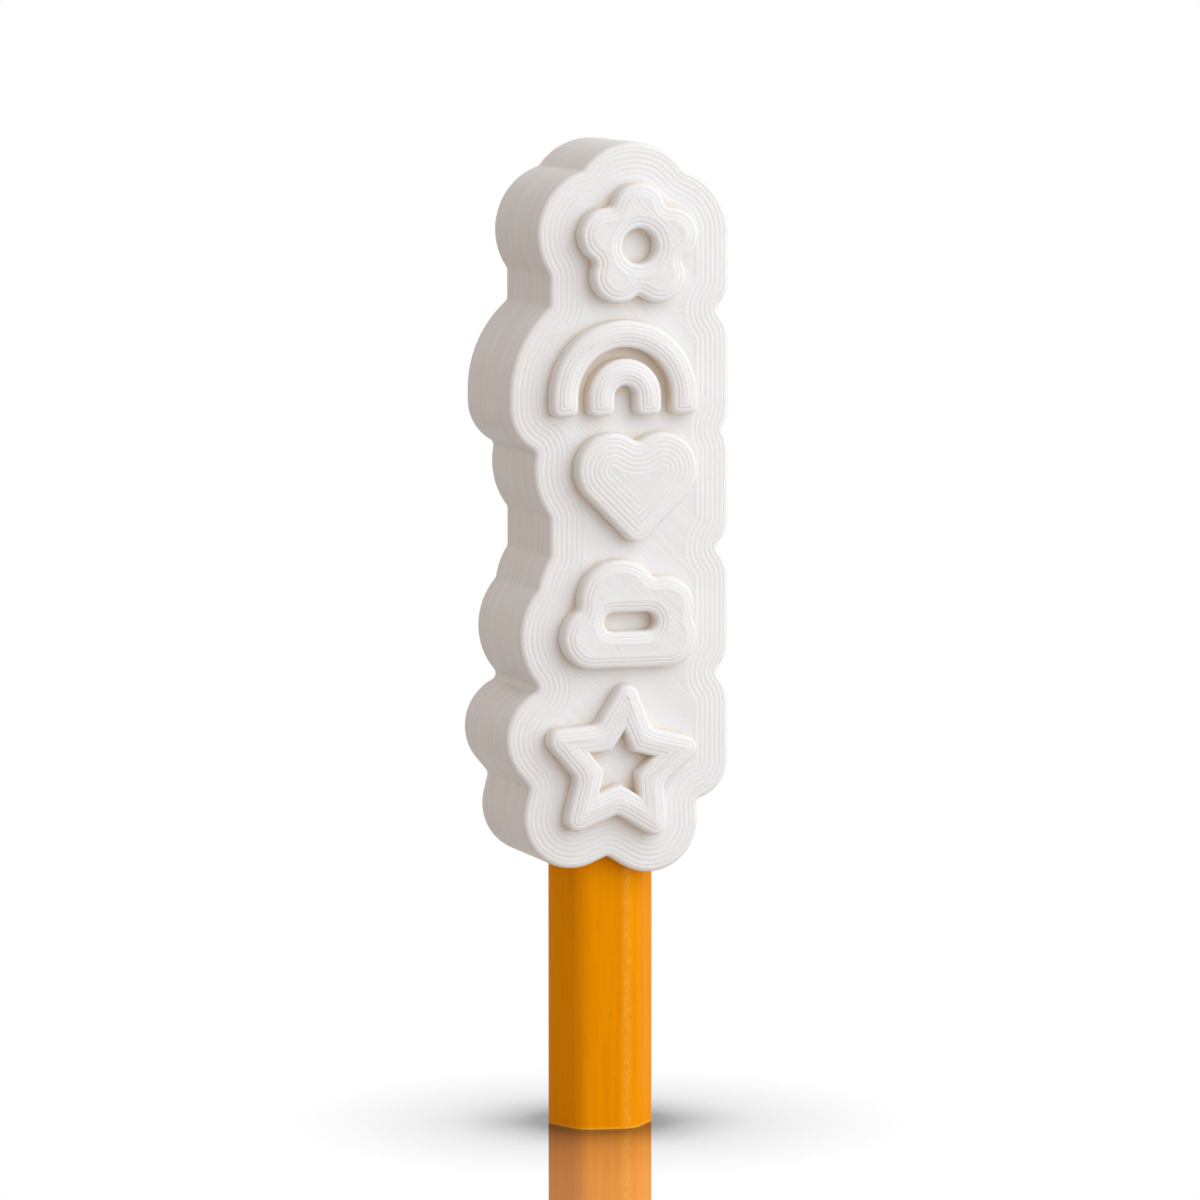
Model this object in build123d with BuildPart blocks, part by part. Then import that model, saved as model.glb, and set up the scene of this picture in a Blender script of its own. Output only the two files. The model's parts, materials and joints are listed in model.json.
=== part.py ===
from build123d import *
from math import cos, radians, sin, sqrt
import os

os.makedirs("parts", exist_ok=True)

# A printed topper with raised figures, pushed on the end of a hexagonal pencil.
# Millimetres and degrees. The pencil stands on its cut foot, centred on the origin.
# Z is up along the pencil and the figures face -Y.

# Pencil
flat_width = 7.15           # across the flats, over the lacquer
corner_round = 1.6          # rounding of the six corners, over the lacquer
coat_thickness = 0.15       # lacquer on the cedar
lead_diameter = 2.2
glue_gap = 0.03             # film of glue round the lead
pencil_turn = -10.0         # how the pencil happens to be turned in the round socket
bare_length = 19.4          # pencil left bare below the topper
grip_length = 20.0          # pencil inside the topper

# Topper body
socket_clearance = 0.06     # between the pencil's corners and the socket
socket_wall = 1.3           # least wall round the socket
border_width = 2.9          # border of the body round the figures
valley_round = 0.5          # rounding where two lobes of the border meet
front_bevel = 0.4           # softened edge round the front
back_bevel = 0.3            # softened edge round the back

# Raised figures, in a column from the bottom up
figure_height = 1.5         # how far they stand out from the body
figure_bevel = 0.4          # softened edge round their tops
figure_crease_round = 0.5   # rounding of the creases between round shapes
figure_gap = 1.25           # between one figure and the next
right_line = 5.4            # line that the figures' right-hand sides keep, from the pencil's axis
right_run_inset = 1.6       # straight border beside a figure ends this far from its top and bottom
left_line = 5.6             # line that the border's left-hand valleys stop at, from the pencil's axis

# Star
star_reach = 7.1            # centre to tip, before the tips are rounded
star_waist = 3.6            # centre to notch
star_tip_round = 0.9
star_notch_round = 0.7
star_tilt = -5.0
star_window_reach = 2.6
star_window_waist = 1.35

# Cloud
cloud_width = 10.4
cloud_base = 4.6            # height of the long flat-bottomed base
big_puff_radius = 3.1
big_puff_shift = -0.8
big_puff_rise = 4.9
small_puff_radius = 2.3
small_puff_shift = 2.7
small_puff_rise = 4.4
cloud_window_length = 4.0
cloud_window_height = 1.4
cloud_window_rise = 3.4

# Heart, a square on its corner with a round lobe on each upper side
heart_side = 5.45
heart_tip_round = 1.0

# Rainbow of two arches on straight legs, measured from the middle outwards
arch_bore = 0.8             # radius of the opening under the inner arch
inner_arch_band = 2.0
arch_gap = 0.8
outer_arch_band = 2.0
arch_leg = 1.4
leg_end_round = 0.6

# Flower
petal_count = 5
petal_radius = 2.0
petal_ring_radius = 2.65    # centre of the flower to centre of a petal
flower_disc_radius = 2.3
flower_eye_radius = 1.3

# Sizes that follow
corner_stretch = 2 / sqrt(3)
corner_reach = flat_width / 2 * corner_stretch - corner_round * (corner_stretch - 1)
pencil_length = bare_length + grip_length
socket_radius = corner_reach + socket_clearance
body_thickness = 2 * (socket_radius + socket_wall)
grown_border = border_width + valley_round
groove_radius = lead_diameter / 2 + glue_gap
inner_arch_radius = arch_bore + inner_arch_band / 2
outer_arch_radius = arch_bore + inner_arch_band + arch_gap + outer_arch_band / 2
heart_lobe_shift = heart_side * sqrt(2) / 4

# Planes
pencil_plane = Plane.XY.rotated((0, 0, pencil_turn))
face_plane = Plane.XZ.offset(body_thickness / 2)
socket_end_plane = Plane.XY.offset(pencil_length)


# Corners of a five-pointed star that stands on two tips
def star_corners(reach, waist):
    corners = []
    for step in range(10):
        radius = waist if step % 2 else reach
        angle = radians(90 + 36 * step)
        corners.append((radius * cos(angle), radius * sin(angle)))
    return corners


# Outlines of the figures, each round its own centre line
with BuildSketch() as star_outline:
    with BuildLine(Plane.XY.rotated((0, 0, star_tilt))):
        Polyline(*star_corners(star_reach, star_waist), close=True)
    make_face()
    star_vertices = star_outline.vertices().sort_by_distance((0, 0, 0))
    fillet(star_vertices[:5], star_notch_round)
    star_vertices = star_outline.vertices().sort_by_distance((0, 0, 0))
    fillet(star_vertices[-5:], star_tip_round)

with BuildSketch() as star_window:
    with BuildLine(Plane.XY.rotated((0, 0, star_tilt))):
        Polyline(*star_corners(star_window_reach, star_window_waist), close=True)
    make_face()

with BuildSketch() as cloud_outline:
    with Locations((0, cloud_base / 2)):
        SlotOverall(cloud_width, cloud_base)
    with Locations((big_puff_shift, big_puff_rise)):
        Circle(big_puff_radius)
    with Locations((small_puff_shift, small_puff_rise)):
        Circle(small_puff_radius)
    offset(amount=figure_crease_round)
    offset(amount=-figure_crease_round)

with BuildSketch() as cloud_window:
    with Locations((0, cloud_window_rise)):
        SlotOverall(cloud_window_length, cloud_window_height)

with BuildSketch() as heart_outline:
    Rectangle(heart_side, heart_side, rotation=45)
    with Locations((-heart_lobe_shift, heart_lobe_shift), (heart_lobe_shift, heart_lobe_shift)):
        Circle(heart_side / 2)
    fillet(heart_outline.vertices().sort_by(Axis.Y)[0], heart_tip_round)
    offset(amount=figure_crease_round)
    offset(amount=-figure_crease_round)

with BuildSketch() as inner_arch_outline:
    with BuildLine():
        Line((inner_arch_radius, -arch_leg), (inner_arch_radius, 0))
        CenterArc((0, 0), inner_arch_radius, 0, 180)
        Line((-inner_arch_radius, 0), (-inner_arch_radius, -arch_leg))
    trace(line_width=inner_arch_band)
    fillet(inner_arch_outline.vertices().group_by(Axis.Y)[0], leg_end_round)

with BuildSketch() as outer_arch_outline:
    with BuildLine():
        Line((outer_arch_radius, -arch_leg), (outer_arch_radius, 0))
        CenterArc((0, 0), outer_arch_radius, 0, 180)
        Line((-outer_arch_radius, 0), (-outer_arch_radius, -arch_leg))
    trace(line_width=outer_arch_band)
    fillet(outer_arch_outline.vertices().group_by(Axis.Y)[0], leg_end_round)

with BuildSketch() as flower_outline:
    Circle(flower_disc_radius)
    with PolarLocations(petal_ring_radius, petal_count, start_angle=90):
        Circle(petal_radius)
    offset(amount=figure_crease_round)
    offset(amount=-figure_crease_round)

# Places of the figures in the column, right-hand sides on one line
column = [star_outline, cloud_outline, heart_outline, outer_arch_outline, flower_outline]
places = []
placed_outlines = []
right_runs = []
column_height = bare_length + border_width
for outline in column:
    box = outline.sketch.bounding_box()
    place = (right_line - box.max.X, column_height - box.min.Y)
    places.append(place)
    placed_outlines.append(Pos(*place) * outline.sketch)
    right_runs.append([column_height + right_run_inset, column_height + box.size.Y - right_run_inset])
    column_height += box.size.Y + figure_gap
star_place, cloud_place, heart_place, arch_place, flower_place = places

# The border's straight right-hand runs start at the star's middle and end at the flower's
right_runs[0][0] = star_place[1]
right_runs[-1][1] = flower_place[1]

# Topper body: the figures' joint outline grown by the border, nearly straight on the right,
# with a blind socket from below
boss_foot = star_place[1]
boss_top = pencil_length + socket_wall
boss_height = boss_top - boss_foot
with BuildPart() as topper_body:
    with BuildSketch(face_plane):
        for outline in placed_outlines:
            offset(outline, amount=grown_border, mode=Mode.ADD)
        for run_foot, run_top in right_runs:
            with Locations((right_line, (run_foot + run_top) / 2)):
                SlotCenterToCenter(run_top - run_foot, 2 * grown_border, rotation=90)
        with Locations((-left_line - valley_round, star_place[1])):
            Rectangle(left_line, flower_place[1] - star_place[1], align=Align.MIN)
        with Locations((0, boss_foot + boss_height / 2)):
            Rectangle(body_thickness + 2 * valley_round, boss_height + 2 * valley_round)
        offset(amount=-valley_round)
    extrude(amount=-body_thickness)
    chamfer(topper_body.faces().sort_by(Axis.Y)[0].edges(), front_bevel)
    chamfer(topper_body.faces().sort_by(Axis.Y)[-1].edges(), back_bevel)
    with BuildSketch(socket_end_plane):
        Circle(socket_radius)
    extrude(amount=-(grip_length + border_width), mode=Mode.SUBTRACT)

# Raised figures on the body's front
with BuildPart() as star_figure:
    with BuildSketch(face_plane):
        with Locations(star_place):
            add(star_outline.sketch)
            add(star_window.sketch, mode=Mode.SUBTRACT)
    extrude(amount=figure_height)
    chamfer(star_figure.faces().sort_by(Axis.Y)[0].edges(), figure_bevel)

with BuildPart() as cloud_figure:
    with BuildSketch(face_plane):
        with Locations(cloud_place):
            add(cloud_outline.sketch)
            add(cloud_window.sketch, mode=Mode.SUBTRACT)
    extrude(amount=figure_height)
    chamfer(cloud_figure.faces().sort_by(Axis.Y)[0].edges(), figure_bevel)

with BuildPart() as heart_figure:
    with BuildSketch(face_plane):
        with Locations(heart_place):
            add(heart_outline.sketch)
    extrude(amount=figure_height)
    chamfer(heart_figure.faces().sort_by(Axis.Y)[0].edges(), figure_bevel)

with BuildPart() as outer_arch_figure:
    with BuildSketch(face_plane):
        with Locations(arch_place):
            add(outer_arch_outline.sketch)
    extrude(amount=figure_height)
    chamfer(outer_arch_figure.faces().sort_by(Axis.Y)[0].edges(), figure_bevel)

with BuildPart() as inner_arch_figure:
    with BuildSketch(face_plane):
        with Locations(arch_place):
            add(inner_arch_outline.sketch)
    extrude(amount=figure_height)
    chamfer(inner_arch_figure.faces().sort_by(Axis.Y)[0].edges(), figure_bevel)

with BuildPart() as flower_figure:
    with BuildSketch(face_plane):
        with Locations(flower_place):
            add(flower_outline.sketch)
            Circle(flower_eye_radius, mode=Mode.SUBTRACT)
    extrude(amount=figure_height)
    chamfer(flower_figure.faces().sort_by(Axis.Y)[0].edges(), figure_bevel)

# Sections of the pencil, over the lacquer and over the bare cedar
with BuildSketch() as pencil_section:
    RegularPolygon(flat_width / 2, 6, major_radius=False)
    fillet(pencil_section.vertices(), corner_round)

with BuildSketch() as cedar_section:
    RegularPolygon(flat_width / 2 - coat_thickness, 6, major_radius=False)
    fillet(cedar_section.vertices(), corner_round - coat_thickness)

# Two cedar slats, glued on the plane through two corners, with half of the lead's groove in each
with BuildPart() as front_slat:
    with BuildSketch(pencil_plane):
        add(cedar_section.sketch)
        Rectangle(2 * flat_width, flat_width, align=(Align.CENTER, Align.MAX), mode=Mode.INTERSECT)
        Circle(groove_radius, mode=Mode.SUBTRACT)
    extrude(amount=pencil_length)

with BuildPart() as rear_slat:
    with BuildSketch(pencil_plane):
        add(cedar_section.sketch)
        Rectangle(2 * flat_width, flat_width, align=(Align.CENTER, Align.MIN), mode=Mode.INTERSECT)
        Circle(groove_radius, mode=Mode.SUBTRACT)
    extrude(amount=pencil_length)

with BuildPart() as graphite_lead:
    with BuildSketch(pencil_plane):
        Circle(lead_diameter / 2)
    extrude(amount=pencil_length)

# Lacquer all round the cedar, with both ends cut bare
with BuildPart() as lacquer_coat:
    with BuildSketch(pencil_plane):
        add(pencil_section.sketch)
        add(cedar_section.sketch, mode=Mode.SUBTRACT)
    extrude(amount=pencil_length)

topper_body.part.label = "topper_body"
star_figure.part.label = "star_figure"
cloud_figure.part.label = "cloud_figure"
heart_figure.part.label = "heart_figure"
outer_arch_figure.part.label = "outer_arch_figure"
inner_arch_figure.part.label = "inner_arch_figure"
flower_figure.part.label = "flower_figure"
front_slat.part.label = "front_slat"
rear_slat.part.label = "rear_slat"
graphite_lead.part.label = "graphite_lead"
lacquer_coat.part.label = "lacquer_coat"

export_step(topper_body.part, "parts/topper_body.step")
export_step(star_figure.part, "parts/star_figure.step")
export_step(cloud_figure.part, "parts/cloud_figure.step")
export_step(heart_figure.part, "parts/heart_figure.step")
export_step(outer_arch_figure.part, "parts/outer_arch_figure.step")
export_step(inner_arch_figure.part, "parts/inner_arch_figure.step")
export_step(flower_figure.part, "parts/flower_figure.step")
export_step(front_slat.part, "parts/front_slat.step")
export_step(rear_slat.part, "parts/rear_slat.step")
export_step(graphite_lead.part, "parts/graphite_lead.step")
export_step(lacquer_coat.part, "parts/lacquer_coat.step")
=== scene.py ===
import json
from math import cos, pi, radians, sin

import bpy
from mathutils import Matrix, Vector

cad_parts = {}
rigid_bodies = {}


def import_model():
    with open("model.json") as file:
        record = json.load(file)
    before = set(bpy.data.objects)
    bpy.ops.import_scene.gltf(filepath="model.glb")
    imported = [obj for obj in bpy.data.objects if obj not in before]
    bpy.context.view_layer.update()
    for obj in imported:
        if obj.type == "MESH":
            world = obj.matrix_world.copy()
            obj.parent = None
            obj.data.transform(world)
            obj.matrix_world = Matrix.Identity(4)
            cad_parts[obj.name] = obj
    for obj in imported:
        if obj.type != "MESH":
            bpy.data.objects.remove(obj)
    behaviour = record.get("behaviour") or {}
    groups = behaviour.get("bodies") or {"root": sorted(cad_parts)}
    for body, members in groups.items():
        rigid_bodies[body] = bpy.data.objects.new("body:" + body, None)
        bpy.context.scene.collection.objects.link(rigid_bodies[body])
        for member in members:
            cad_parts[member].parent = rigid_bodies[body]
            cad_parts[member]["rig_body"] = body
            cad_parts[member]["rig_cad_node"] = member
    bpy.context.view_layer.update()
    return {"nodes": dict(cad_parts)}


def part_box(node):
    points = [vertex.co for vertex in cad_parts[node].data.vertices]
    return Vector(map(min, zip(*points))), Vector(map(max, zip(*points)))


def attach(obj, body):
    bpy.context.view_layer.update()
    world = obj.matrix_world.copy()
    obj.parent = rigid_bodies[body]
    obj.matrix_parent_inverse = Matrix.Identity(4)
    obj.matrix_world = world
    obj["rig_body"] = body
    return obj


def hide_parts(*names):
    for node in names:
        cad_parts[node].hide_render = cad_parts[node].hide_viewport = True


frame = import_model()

MM = 0.001
scene = bpy.context.scene
scene.view_settings.view_transform = "Standard"

# Sizes, in metres unless said otherwise
BODY_FRONT, BODY_BACK = (corner.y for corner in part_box("topper_body"))
FIGURE_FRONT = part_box("star_figure")[0].y
FRONT_ROUND = 0.4 * MM                  # rounded front edges of body and figures
BACK_ROUND = 0.3 * MM                   # rounded edge that lay on the print bed
ROUND_STEPS = 5                         # flats in a rounded edge
BEAD = 0.385 * MM                       # width of one printed line round the border and on the back
BODY_BEADS = 6                          # lines round the border
BODY_CROWN = 0.08 * MM                  # rise of the border over those lines
FIGURE_CROWN = 0.14 * MM                # rise of a raised figure over its lines
INFILL = 0.29 * MM                      # width of the slanting lines on the front
GROOVE = 0.045 * MM                     # depth between two lines on the front
BACK_BEADS = 3                          # lines round the back
BACK_GROOVE = 0.08 * MM                 # depth between two lines on the back
CREST_STEPS = 4                         # heights from the groove to the crest of a slanting line
LINE_PROFILE = (                        # steps over a line round an edge: shares of its width and groove
    (0.12, 0.0),
    (0.22, 0.8),
    (0.22, 0.2),
    (0.22, -0.2),
    (0.22, -0.8),
)
FOOT_SINK = 0.15 * MM                   # figures reach into the lines below them
BODY_STRIP = 0.2 * MM                   # straight wall beside the body's rounded edges
FIGURE_STRIP = 0.1 * MM                 # straight wall beside a figure's rounded edge
HIGHLIGHT_ANGLE = -77.0                        # degrees round the pencil to the painted highlight down one corner
HAIR = 0.002 * MM                       # points nearer to a plane than this lie in it
WELD = 0.001 * MM                       # points nearer together than this are one, in a copy of a CAD node
PINCH = 0.03 * MM                       # points nearer together than this are one, after a step inwards
SAW_SNAP = 0.0001 * MM                  # points nearer to a cut than this are not cut again
FLAT_TURN = radians(0.5)                # faces that turn less than this are one flat face
SMOOTH_TURN = radians(40)               # edges that turn less than this are shaded smooth
WAVE_LENGTH = 0.314                     # length of one wave of Blender's Wave texture at scale 1
FIGURES = {                             # lines round each raised figure, and their width
    "star_figure": (2, 0.30 * MM),
    "cloud_figure": (2, 0.30 * MM),
    "heart_figure": (6, 0.36 * MM),
    "outer_arch_figure": (2, 0.28 * MM),
    "inner_arch_figure": (2, 0.28 * MM),
    "flower_figure": (2, 0.35 * MM),
}


# Colours and nodes

# An sRGB hex colour as the linear values that sockets take
def linear(hex_colour):
    channels = [int(hex_colour[i:i + 2], 16) / 255 for i in (1, 3, 5)]
    return [c / 12.92 if c <= 0.04045 else ((c + 0.055) / 1.055) ** 2.4 for c in channels] + [1.0]


def add_node(tree, kind, inputs=None, links=None, **settings):
    node = tree.nodes.new(kind)
    for name, value in settings.items():
        setattr(node, name, value)
    # a Mix node has sockets of the same name for each kind of value, and only one is enabled
    sockets = {socket.name: socket for socket in node.inputs if socket.enabled}
    for name, value in (inputs or {}).items():
        (node.inputs[name] if isinstance(name, int) else sockets[name]).default_value = value
    for name, source in (links or {}).items():
        tree.links.new(source, node.inputs[name] if isinstance(name, int) else sockets[name])
    return node


# The output of a Mix node that is in use
def result(node):
    return next(socket for socket in node.outputs if socket.enabled)


def new_material(name):
    material = bpy.data.materials.new(name)
    material.use_nodes = True
    material.node_tree.nodes.clear()
    return material, material.node_tree


# White PLA, printed flat on its back: satin, a little milky, with faint layer lines on its walls
def make_printed_pla():
    material, tree = new_material("printed_white_pla")
    place = add_node(tree, "ShaderNodeTexCoord")
    # cloudy tint, patches of about 4 mm
    tint = add_node(tree, "ShaderNodeTexNoise", {"Scale": 1 / (4 * MM), "Detail": 2.0},
                    {"Vector": place.outputs["Object"]})
    colour = add_node(tree, "ShaderNodeValToRGB", links={"Fac": tint.outputs["Fac"]})
    colour.color_ramp.elements[0].color = linear("#F0EFED")
    colour.color_ramp.elements[1].color = linear("#F6F5F3")
    # painted shade: the colour is tinted warmer where corners lie within 1.2 mm, for the light caught there
    # that comes out warmer, as it does in milky plastic
    corner = add_node(tree, "ShaderNodeAmbientOcclusion", {"Distance": 1.2 * MM}, samples=12)
    painted_corner_shade = add_node(tree, "ShaderNodeValToRGB", links={"Fac": corner.outputs["AO"]})
    painted_corner_shade.color_ramp.elements[0].position = 0.35
    painted_corner_shade.color_ramp.elements[0].color = linear("#FFF2E3")
    painted_corner_shade.color_ramp.elements[1].position = 0.75
    painted_corner_shade.color_ramp.elements[1].color = linear("#FFFFFF")
    with_painted_corner_shade = add_node(tree, "ShaderNodeMix", {"Factor": 1.0}, {
        "A": colour.outputs["Color"], "B": painted_corner_shade.outputs["Color"]}, data_type="RGBA", blend_type="MULTIPLY")
    # layers of 0.2 mm are too fine to show, so they are drawn 0.45 mm apart
    layers = add_node(tree, "ShaderNodeTexWave", {
        "Scale": WAVE_LENGTH / (0.45 * MM), "Distortion": 0.8, "Detail": 2.0, "Detail Scale": 0.2,
    }, {"Vector": place.outputs["Object"]}, wave_type="BANDS", bands_direction="Y")
    # they are fainter in places, over about 8 mm of their length
    stretch = add_node(tree, "ShaderNodeMapping", {"Scale": (1 / (8 * MM), 1 / (0.7 * MM), 1 / (8 * MM))},
                       {"Vector": place.outputs["Object"]})
    uneven = add_node(tree, "ShaderNodeTexNoise", {"Scale": 1.0, "Detail": 2.0},
                      {"Vector": stretch.outputs["Vector"]})
    patches = add_node(tree, "ShaderNodeMapRange", {"From Min": 0.3, "From Max": 0.7, "To Min": 0.2},
                       {"Value": uneven.outputs["Fac"]})
    ridges = add_node(tree, "ShaderNodeMath", links={0: layers.outputs["Fac"], 1: patches.outputs["Result"]},
                      operation="MULTIPLY")
    # the layer lines show on walls only, not on the front and back, and are a little darker than the rest
    facing = add_node(tree, "ShaderNodeSeparateXYZ", links={"Vector": place.outputs["Normal"]})
    slope = add_node(tree, "ShaderNodeMath", links={0: facing.outputs["Y"]}, operation="ABSOLUTE")
    wall = add_node(tree, "ShaderNodeMapRange",
                    {"From Min": 0.25, "From Max": 0.6, "To Min": 1.0, "To Max": 0.0},
                    {"Value": slope.outputs["Value"]})
    lines = add_node(tree, "ShaderNodeMath", links={0: ridges.outputs["Value"], 1: wall.outputs["Result"]},
                     operation="MULTIPLY")
    dimming = add_node(tree, "ShaderNodeValToRGB", links={"Fac": lines.outputs["Value"]})
    dimming.color_ramp.elements[0].position = 0.1
    dimming.color_ramp.elements[0].color = linear("#FFFFFF")
    dimming.color_ramp.elements[1].position = 0.9
    dimming.color_ramp.elements[1].color = linear("#F1EEEC")
    lined = add_node(tree, "ShaderNodeMix", {"Factor": 1.0}, {
        "A": result(with_painted_corner_shade), "B": dimming.outputs["Color"]}, data_type="RGBA", blend_type="MULTIPLY")
    bump = add_node(tree, "ShaderNodeBump", {"Strength": 0.25, "Distance": 0.05 * MM},
                    {"Height": lines.outputs["Value"]})
    shader = add_node(tree, "ShaderNodeBsdfPrincipled", {
        "Roughness": 0.48,
        "IOR": 1.46,
        "Subsurface Weight": 0.4,
        "Subsurface Radius": (1.0, 0.75, 0.5),
        "Subsurface Scale": 0.6 * MM,
    }, {"Base Color": result(lined), "Normal": bump.outputs["Normal"]})
    add_node(tree, "ShaderNodeOutputMaterial", links={"Surface": shader.outputs["BSDF"]})
    return material


# Orange-yellow pencil lacquer: thin, drawn on along the pencil and so streaky, with a painted highlight down
# one corner and paler at the foot's cut edge
def make_lacquer():
    material, tree = new_material("pencil_lacquer")
    place = add_node(tree, "ShaderNodeTexCoord")
    # streaks about 0.5 mm wide and 15 mm long
    drawn = add_node(tree, "ShaderNodeMapping", {"Scale": (1 / (0.5 * MM), 1 / (0.5 * MM), 1 / (15 * MM))},
                     {"Vector": place.outputs["Object"]})
    streaks = add_node(tree, "ShaderNodeTexNoise", {"Scale": 1.0, "Detail": 4.0, "Roughness": 0.6},
                       {"Vector": drawn.outputs["Vector"]})
    colour = add_node(tree, "ShaderNodeValToRGB", links={"Fac": streaks.outputs["Fac"]})
    colour.color_ramp.elements[0].position = 0.3
    colour.color_ramp.elements[0].color = linear("#F39200")
    colour.color_ramp.elements[1].position = 0.75
    colour.color_ramp.elements[1].color = linear("#FCA200")
    # scratches about 0.15 mm wide and 1.5 mm long
    scraped = add_node(tree, "ShaderNodeMapping",
                       {"Scale": (1 / (0.15 * MM), 1 / (0.15 * MM), 1 / (1.5 * MM))},
                       {"Vector": place.outputs["Object"]})
    scratches = add_node(tree, "ShaderNodeTexNoise", {"Scale": 1.0, "Detail": 1.0},
                         {"Vector": scraped.outputs["Vector"]})
    scratch = add_node(tree, "ShaderNodeMapRange", {"From Min": 0.62, "From Max": 0.78, "To Max": 0.4},
                       {"Value": scratches.outputs["Fac"]})
    dulled = add_node(tree, "ShaderNodeMix", {"B": linear("#E08800")}, {
        "Factor": scratch.outputs["Result"], "A": colour.outputs["Color"]}, data_type="RGBA")
    # painted highlight: one corner is paler within 9 degrees of its line, mottled in grains of 0.15 mm
    spot = add_node(tree, "ShaderNodeSeparateXYZ", links={"Vector": place.outputs["Object"]})
    angle = add_node(tree, "ShaderNodeMath", links={0: spot.outputs["Y"], 1: spot.outputs["X"]},
                     operation="ARCTAN2")
    offset = add_node(tree, "ShaderNodeMath", {1: radians(HIGHLIGHT_ANGLE)}, {0: angle.outputs["Value"]},
                      operation="SUBTRACT")
    away = add_node(tree, "ShaderNodeMath", links={0: offset.outputs["Value"]}, operation="ABSOLUTE")
    painted_highlight_band = add_node(tree, "ShaderNodeMapRange",
                        {"From Min": 0.0, "From Max": radians(9), "To Min": 0.75, "To Max": 0.0},
                        {"Value": away.outputs["Value"]}, interpolation_type="SMOOTHSTEP")
    highlight_mottle = add_node(tree, "ShaderNodeMapping",
                      {"Scale": (1 / (0.15 * MM), 1 / (0.15 * MM), 1 / (0.4 * MM))},
                      {"Vector": place.outputs["Object"]})
    grains = add_node(tree, "ShaderNodeTexNoise", {"Scale": 1.0, "Detail": 2.0},
                      {"Vector": highlight_mottle.outputs["Vector"]})
    grain = add_node(tree, "ShaderNodeMapRange", {"From Min": 0.3, "From Max": 0.7},
                     {"Value": grains.outputs["Fac"]})
    painted_highlight = add_node(tree, "ShaderNodeMath", links={0: painted_highlight_band.outputs["Result"], 1: grain.outputs["Result"]},
                    operation="MULTIPLY")
    # the lacquer is paler up to 0.2 mm above the cut edge of the foot
    foot = add_node(tree, "ShaderNodeMapRange",
                    {"From Min": 0.1 * MM, "From Max": 0.2 * MM, "To Min": 0.6, "To Max": 0.0},
                    {"Value": spot.outputs["Z"]})
    # the stronger of the painted highlight on the corner and the paler band at the foot
    edges = add_node(tree, "ShaderNodeMath", links={0: painted_highlight.outputs["Value"], 1: foot.outputs["Result"]},
                     operation="MAXIMUM")
    lacquer_with_highlight_and_foot_band = add_node(tree, "ShaderNodeMix", {"B": linear("#FFB83E")}, {
        "Factor": edges.outputs["Value"], "A": result(dulled)}, data_type="RGBA")
    # waves in the coat, about 2 mm across and 10 mm long
    flow = add_node(tree, "ShaderNodeMapping", {"Scale": (1 / (2 * MM), 1 / (2 * MM), 1 / (10 * MM))},
                    {"Vector": place.outputs["Object"]})
    waves = add_node(tree, "ShaderNodeTexNoise", {"Scale": 1.0, "Detail": 2.0},
                     {"Vector": flow.outputs["Vector"]})
    bump = add_node(tree, "ShaderNodeBump", {"Strength": 0.2, "Distance": 0.1 * MM},
                    {"Height": waves.outputs["Fac"]})
    shader = add_node(tree, "ShaderNodeBsdfPrincipled", {
        "Roughness": 0.35,
        "IOR": 1.5,
        "Specular IOR Level": 0.015,
    }, {"Base Color": result(lacquer_with_highlight_and_foot_band), "Normal": bump.outputs["Normal"]})
    add_node(tree, "ShaderNodeOutputMaterial", links={"Surface": shader.outputs["BSDF"]})
    return material


# Sawn cedar: dull, warm, with curved growth rings across the cut end
def make_cedar():
    material, tree = new_material("sawn_cedar")
    place = add_node(tree, "ShaderNodeTexCoord")
    # rings 0.7 mm apart, round a heart 25 mm in front of the pencil and 6 mm to its left
    heart = add_node(tree, "ShaderNodeMapping", {"Location": (6 * MM, 25 * MM, 0.0)},
                     {"Vector": place.outputs["Object"]})
    rings = add_node(tree, "ShaderNodeTexWave", {
        "Scale": WAVE_LENGTH / (0.7 * MM), "Distortion": 2.5, "Detail": 2.0, "Detail Scale": 0.4,
    }, {"Vector": heart.outputs["Vector"]}, wave_type="RINGS", rings_direction="Z", wave_profile="SAW")
    # pores about 0.15 mm wide
    pores = add_node(tree, "ShaderNodeTexNoise", {"Scale": 1 / (0.15 * MM), "Detail": 2.0},
                     {"Vector": place.outputs["Object"]})
    grain = add_node(tree, "ShaderNodeMath", {1: 0.35}, {0: pores.outputs["Fac"]}, operation="MULTIPLY")
    mixed = add_node(tree, "ShaderNodeMath", links={0: rings.outputs["Fac"], 1: grain.outputs["Value"]},
                     operation="ADD")
    colour = add_node(tree, "ShaderNodeValToRGB", links={"Fac": mixed.outputs["Value"]})
    colour.color_ramp.elements[0].color = linear("#D9AE82")
    colour.color_ramp.elements[1].color = linear("#B07A50")
    bump = add_node(tree, "ShaderNodeBump", {"Strength": 0.4, "Distance": 0.04 * MM},
                    {"Height": pores.outputs["Fac"]})
    shader = add_node(tree, "ShaderNodeBsdfPrincipled", {"Roughness": 0.75, "IOR": 1.5},
                      {"Base Color": colour.outputs["Color"], "Normal": bump.outputs["Normal"]})
    add_node(tree, "ShaderNodeOutputMaterial", links={"Surface": shader.outputs["BSDF"]})
    return material


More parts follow.
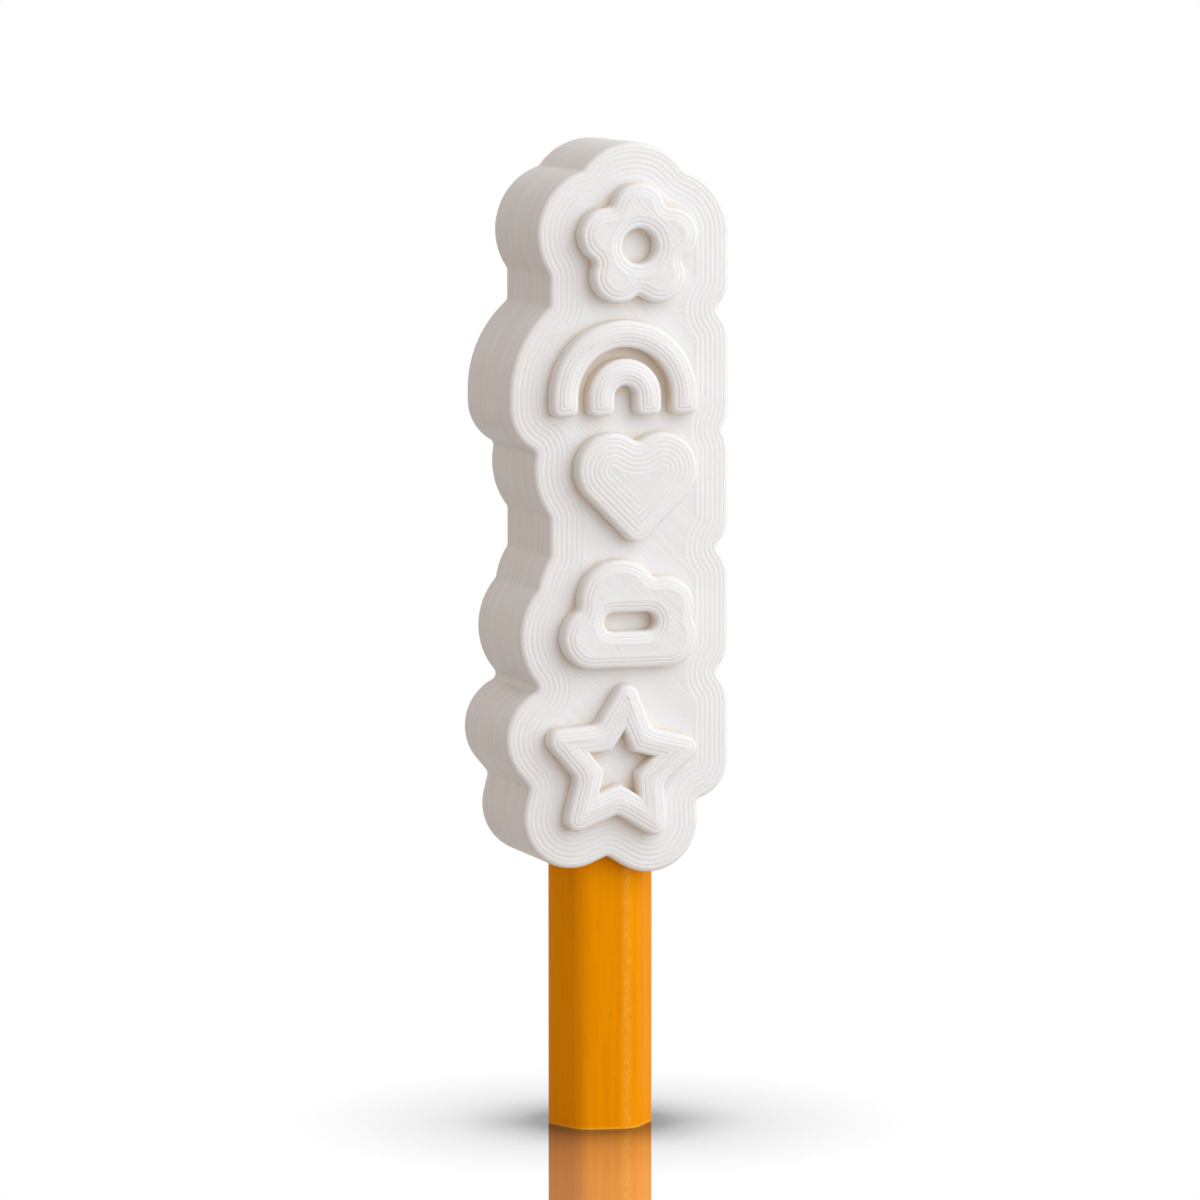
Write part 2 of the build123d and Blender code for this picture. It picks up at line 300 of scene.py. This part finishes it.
# Fired graphite and clay: dark grey with a dull sheen and a grainy cut
def make_graphite():
    material, tree = new_material("graphite_lead")
    place = add_node(tree, "ShaderNodeTexCoord")
    # grit of about 0.12 mm
    grit = add_node(tree, "ShaderNodeTexNoise", {"Scale": 1 / (0.12 * MM), "Detail": 3.0},
                    {"Vector": place.outputs["Object"]})
    colour = add_node(tree, "ShaderNodeValToRGB", links={"Fac": grit.outputs["Fac"]})
    colour.color_ramp.elements[0].color = linear("#2A2A2C")
    colour.color_ramp.elements[1].color = linear("#47474A")
    bump = add_node(tree, "ShaderNodeBump", {"Strength": 0.3, "Distance": 0.03 * MM},
                    {"Height": grit.outputs["Fac"]})
    shader = add_node(tree, "ShaderNodeBsdfPrincipled", {
        "Roughness": 0.55,
        "IOR": 1.5,
        "Specular IOR Level": 0.25,
    }, {"Base Color": colour.outputs["Color"], "Normal": bump.outputs["Normal"]})
    add_node(tree, "ShaderNodeOutputMaterial", links={"Surface": shader.outputs["BSDF"]})
    return material


# Polished white acrylic: mirrors the pencil's foot and carries a soft painted shadow where the foot meets it
def make_floor_acrylic():
    material, tree = new_material("polished_white_acrylic")
    # painted shadow: a soft shade within 20 mm of the pencil and a deeper one within 8 mm, together never
    # below 0.36
    wide = add_node(tree, "ShaderNodeAmbientOcclusion", {"Distance": 20 * MM}, samples=16)
    close = add_node(tree, "ShaderNodeAmbientOcclusion", {"Distance": 8 * MM}, samples=16)
    soft = add_node(tree, "ShaderNodeMath", {1: 2.0}, {0: wide.outputs["AO"]}, operation="POWER")
    deep = add_node(tree, "ShaderNodeMath", links={0: soft.outputs["Value"], 1: close.outputs["AO"]},
                    operation="MULTIPLY")
    shade = add_node(tree, "ShaderNodeMath", {1: 0.36}, {0: deep.outputs["Value"]}, operation="MAXIMUM")
    matt = add_node(tree, "ShaderNodeBsdfDiffuse", {"Color": linear("#CFC8C2")})
    mirror = add_node(tree, "ShaderNodeBsdfGlossy", {"Roughness": 0.02}, {"Color": shade.outputs["Value"]})
    # the polish mirrors at low angles, and from above the white of the acrylic shows
    plain = add_node(tree, "ShaderNodeEmission", {"Strength": 1.0}, {"Color": shade.outputs["Value"]})
    angle = add_node(tree, "ShaderNodeLayerWeight", {"Blend": 0.5})
    low = add_node(tree, "ShaderNodeMapRange", {"From Min": 0.4, "From Max": 0.84},
                   {"Value": angle.outputs["Facing"]})
    polish = add_node(tree, "ShaderNodeMixShader", links={
        "Fac": low.outputs["Result"], 1: plain.outputs["Emission"], 2: mirror.outputs["BSDF"]})
    # the eye and glossy reflections see the polish, and all other light meets a matt floor
    path = add_node(tree, "ShaderNodeLightPath")
    seen = add_node(tree, "ShaderNodeMath", links={
        0: path.outputs["Is Camera Ray"], 1: path.outputs["Is Glossy Ray"]}, operation="MAXIMUM")
    both = add_node(tree, "ShaderNodeMixShader", links={
        "Fac": seen.outputs["Value"], 1: matt.outputs["BSDF"], 2: polish.outputs["Shader"]})
    # 40 to 120 mm from the foot the floor fades into the white backdrop
    place = add_node(tree, "ShaderNodeTexCoord")
    reach = add_node(tree, "ShaderNodeVectorMath", links={0: place.outputs["Object"]}, operation="LENGTH")
    far = add_node(tree, "ShaderNodeMapRange", {"From Min": 40 * MM, "From Max": 120 * MM},
                   {"Value": reach.outputs["Value"]})
    fade = add_node(tree, "ShaderNodeMath", links={0: far.outputs["Result"], 1: seen.outputs["Value"]},
                    operation="MULTIPLY")
    backdrop = add_node(tree, "ShaderNodeEmission", {"Color": linear("#FFFFFF"), "Strength": 1.0})
    blend = add_node(tree, "ShaderNodeMixShader", links={
        "Fac": fade.outputs["Value"], 1: both.outputs["Shader"], 2: backdrop.outputs["Emission"]})
    add_node(tree, "ShaderNodeOutputMaterial", links={"Surface": blend.outputs["Shader"]})
    return material


# Modelling by hand: every step acts on what is selected

def deselect_objects():
    bpy.ops.object.select_all(action="DESELECT")


def make_active(piece):
    deselect_objects()
    piece.select_set(True)
    bpy.context.view_layer.objects.active = piece


def edit(piece):
    make_active(piece)
    bpy.ops.object.mode_set(mode="EDIT")
    bpy.ops.mesh.select_all(action="DESELECT")


def leave_edit():
    bpy.ops.object.mode_set(mode="OBJECT")


# Selects the faces, edges or vertices whose corners all pass a test
def pick(piece, kind, test):
    bpy.ops.mesh.select_mode(type=kind)
    bpy.ops.mesh.select_all(action="DESELECT")
    leave_edit()
    mesh = piece.data
    if kind == "VERT":
        for vertex in mesh.vertices:
            vertex.select = not vertex.hide and test(vertex.co)
    else:
        elements = mesh.polygons if kind == "FACE" else mesh.edges
        for element in elements:
            element.select = not element.hide and all(test(mesh.vertices[i].co) for i in element.vertices)
    bpy.ops.object.mode_set(mode="EDIT")


# A copy of a CAD node, with its points welded and its flat faces joined
def copy_of(node, name):
    source = frame["nodes"][node]
    piece = source.copy()
    piece.data = source.data.copy()
    piece.name = name
    piece.data.name = name
    piece.parent = None
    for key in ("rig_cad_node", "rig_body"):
        if key in piece:
            del piece[key]
    scene.collection.objects.link(piece)
    piece.data.materials.clear()
    edit(piece)
    bpy.ops.mesh.customdata_custom_splitnormals_clear()
    bpy.ops.mesh.select_all(action="SELECT")
    bpy.ops.mesh.remove_doubles(threshold=WELD)
    bpy.ops.mesh.dissolve_limited(angle_limit=FLAT_TURN)
    leave_edit()
    return piece


# Saws off a flat end with its bevel, closes the walls straight across, and leaves the new face selected
def cut_end_flat(piece, level, outwards):
    bpy.ops.mesh.select_all(action="SELECT")
    bpy.ops.mesh.bisect(plane_co=(0.0, level, 0.0), plane_no=(0.0, outwards, 0.0), clear_outer=True,
                        threshold=SAW_SNAP)
    pick(piece, "EDGE", lambda corner: abs(corner.y - level) < HAIR)
    bpy.ops.mesh.fill()
    bpy.ops.mesh.select_all(action="SELECT")
    bpy.ops.mesh.normals_make_consistent(inside=False)
    pick(piece, "FACE", lambda corner: abs(corner.y - level) < HAIR)
    bpy.ops.mesh.dissolve_limited(angle_limit=FLAT_TURN)
    pick(piece, "FACE", lambda corner: abs(corner.y - level) < HAIR)


# Insets the selected face, raises or lowers it, and merges the points that have met
def step_in(thickness, depth):
    bpy.ops.mesh.inset(thickness=thickness, depth=depth, use_even_offset=True)
    bpy.ops.mesh.remove_doubles(threshold=PINCH)


# Rolls the edge of the selected face over in a quarter round
def round_over(radius):
    turns = [radians(90 * step / ROUND_STEPS) for step in range(ROUND_STEPS + 1)]
    for a, b in zip(turns, turns[1:]):
        step_in(radius * (cos(a) - cos(b)), radius * (sin(b) - sin(a)))


# Lays rounded printed lines inwards from the edge of the selected face. The first step drops into a groove,
# and the lines then climb to the crown's height, each by less than the one before.
def lay_beads(count, width, groove, crown):
    drop = groove
    for bead in range(count):
        left = count - bead
        rise = crown * (left ** 2 - (left - 1) ** 2) / count ** 2
        for share, climb in LINE_PROFILE:
            step_in(width * share, rise / len(LINE_PROFILE) + groove * climb - drop)
            drop = 0.0


# Fills the selected faces with slanting printed lines, which fall to the right when seen from the front
def lay_infill(piece, width, groove, outwards):
    bpy.ops.mesh.hide(unselected=True)
    leave_edit()
    slant = Vector((1.0, 0.0, 1.0)).normalized()
    corners = [vertex.co.copy() for vertex in piece.data.vertices if not vertex.hide]
    spots = [corner.dot(slant) for corner in corners]
    level = min(corner.y * outwards for corner in corners)
    bpy.ops.object.mode_set(mode="EDIT")
    half = width / 2
    for step in range(int(min(spots) / half) + 1, int(max(spots) / half) + 1):
        bpy.ops.mesh.select_all(action="SELECT")
        bpy.ops.mesh.bisect(plane_co=slant * (step * half), plane_no=slant, threshold=SAW_SNAP)

    # each point that isn't raised yet is raised by its place across the line, in steps from groove to crest
    def steps_up(corner):
        return round(CREST_STEPS * (1 - cos(pi * corner.dot(slant) / half)) / 2)

    rise = groove / CREST_STEPS
    for height in range(1, CREST_STEPS + 1):
        pick(piece, "VERT", lambda corner: (
            corner.y * outwards < level + rise / 2 and steps_up(corner) == height))
        bpy.ops.transform.translate(value=(0.0, rise * height * outwards, 0.0))
    bpy.ops.mesh.reveal(select=False)


# Cuts the walls all round, which keeps their shading flat up to the rounded edges
def cut_round(piece, level):
    bpy.ops.mesh.select_all(action="SELECT")
    bpy.ops.mesh.bisect(plane_co=(0.0, level, 0.0), plane_no=(0.0, 1.0, 0.0))


def finish_printed(piece, node, material):
    leave_edit()
    make_active(piece)
    bpy.ops.object.shade_smooth_by_angle(angle=SMOOTH_TURN)
    piece.data.materials.append(material)
    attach(piece, "topper")
    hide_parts(node)


def print_body(material):
    piece = copy_of("topper_body", "printed_body")
    front_edge = BODY_FRONT + BODY_CROWN + FRONT_ROUND
    back_edge = BODY_BACK - BACK_ROUND
    edit(piece)
    cut_end_flat(piece, back_edge, 1)
    round_over(BACK_ROUND)
    lay_beads(BACK_BEADS, BEAD, BACK_GROOVE, 0.0)
    lay_infill(piece, BEAD, BACK_GROOVE, 1)
    cut_end_flat(piece, front_edge, -1)
    round_over(FRONT_ROUND)
    lay_beads(BODY_BEADS, BEAD, GROOVE, BODY_CROWN)
    lay_infill(piece, INFILL, GROOVE, -1)
    cut_round(piece, front_edge + BODY_STRIP)
    cut_round(piece, back_edge - BODY_STRIP)
    finish_printed(piece, "topper_body", material)


def print_figure(node, beads, width, material):
    piece = copy_of(node, "printed_" + node.replace("_figure", ""))
    front_edge = FIGURE_FRONT + FIGURE_CROWN + FRONT_ROUND
    edit(piece)
    cut_end_flat(piece, front_edge, -1)
    round_over(FRONT_ROUND)
    lay_beads(beads, width, GROOVE, FIGURE_CROWN)
    lay_infill(piece, INFILL, GROOVE, -1)
    cut_round(piece, front_edge + FIGURE_STRIP)
    pick(piece, "VERT", lambda corner: abs(corner.y - BODY_FRONT) < HAIR)
    bpy.ops.transform.translate(value=(0.0, FOOT_SINK, 0.0))
    finish_printed(piece, node, material)


# The print, the pencil's coat, and its bare ends
pla = make_printed_pla()
print_body(pla)
for figure, (lines, line_width) in FIGURES.items():
    print_figure(figure, lines, line_width, pla)

lacquer = make_lacquer()
coat = copy_of("lacquer_coat", "pencil_coat")
make_active(coat)
bpy.ops.object.shade_smooth_by_angle(angle=SMOOTH_TURN)
coat.data.materials.append(lacquer)
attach(coat, "pencil")
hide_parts("lacquer_coat")

cedar = make_cedar()
for slat in ("front_slat", "rear_slat"):
    frame["nodes"][slat].data.materials.clear()
    frame["nodes"][slat].data.materials.append(cedar)
lead = frame["nodes"]["graphite_lead"]
lead.data.materials.clear()
lead.data.materials.append(make_graphite())

# Floor
FLOOR_SIZE = 4.0
deselect_objects()
bpy.ops.mesh.primitive_plane_add(size=FLOOR_SIZE, location=(0.0, 0.0, 0.0))
floor = bpy.context.object
floor.name = "floor"
floor.data.materials.append(make_floor_acrylic())

# Camera
AZIMUTH = radians(-18.7)
ELEVATION = radians(6.0)
DISTANCE = 0.52
AIM_HEIGHT = 39.2 * MM
LENS = 210.0                            # focal length in millimetres
NEAREST = 0.01                          # the camera sees nothing nearer than this
aim = Vector((0.0, 0.0, AIM_HEIGHT))
towards = Vector((sin(AZIMUTH) * cos(ELEVATION), -cos(AZIMUTH) * cos(ELEVATION), sin(ELEVATION)))
camera_data = bpy.data.cameras.new("camera")
camera_data.lens = LENS
camera_data.clip_start = NEAREST
camera = bpy.data.objects.new("camera", camera_data)
scene.collection.objects.link(camera)
camera.location = aim + towards * DISTANCE
camera.rotation_euler = (aim - camera.location).to_track_quat("-Z", "Y").to_euler()
scene.camera = camera


# Soft studio light

LAMP_DISTANCE = 0.6


def add_light(name, azimuth, elevation, size, power, colour):
    light = bpy.data.lights.new(name, "AREA")
    light.color = linear(colour)[:3]
    light.size = size
    light.energy = power
    lamp = bpy.data.objects.new(name, light)
    scene.collection.objects.link(lamp)
    a, e = radians(azimuth), radians(elevation)
    lamp.location = aim + LAMP_DISTANCE * Vector((sin(a) * cos(e), -cos(a) * cos(e), sin(e)))
    lamp.rotation_euler = (aim - lamp.location).to_track_quat("-Z", "Y").to_euler()
    # the polished floor shows no picture of the lamps
    lamp.visible_glossy = False


add_light("key", azimuth=38, elevation=27, size=0.75, power=3.7, colour="#EAF4FF")
add_light("rear", azimuth=150, elevation=12, size=0.3, power=0.6, colour="#FFFFFF")

# A warm fill from all round, where the eye and glossy reflections see plain white
world = bpy.data.worlds.new("studio")
scene.world = world
world.use_nodes = True
sky_tree = world.node_tree
sky_tree.nodes.clear()
path = add_node(sky_tree, "ShaderNodeLightPath")
seen = add_node(sky_tree, "ShaderNodeMath", links={
    0: path.outputs["Is Camera Ray"], 1: path.outputs["Is Glossy Ray"]}, operation="MAXIMUM")
lit = add_node(sky_tree, "ShaderNodeBackground", {"Color": linear("#FFF2EA"), "Strength": 0.51})
white = add_node(sky_tree, "ShaderNodeBackground", {"Color": linear("#FFFFFF"), "Strength": 1.0})
sky = add_node(sky_tree, "ShaderNodeMixShader", links={
    "Fac": seen.outputs["Value"], 1: lit.outputs["Background"], 2: white.outputs["Background"]})
add_node(sky_tree, "ShaderNodeOutputWorld", links={"Surface": sky.outputs["Shader"]})
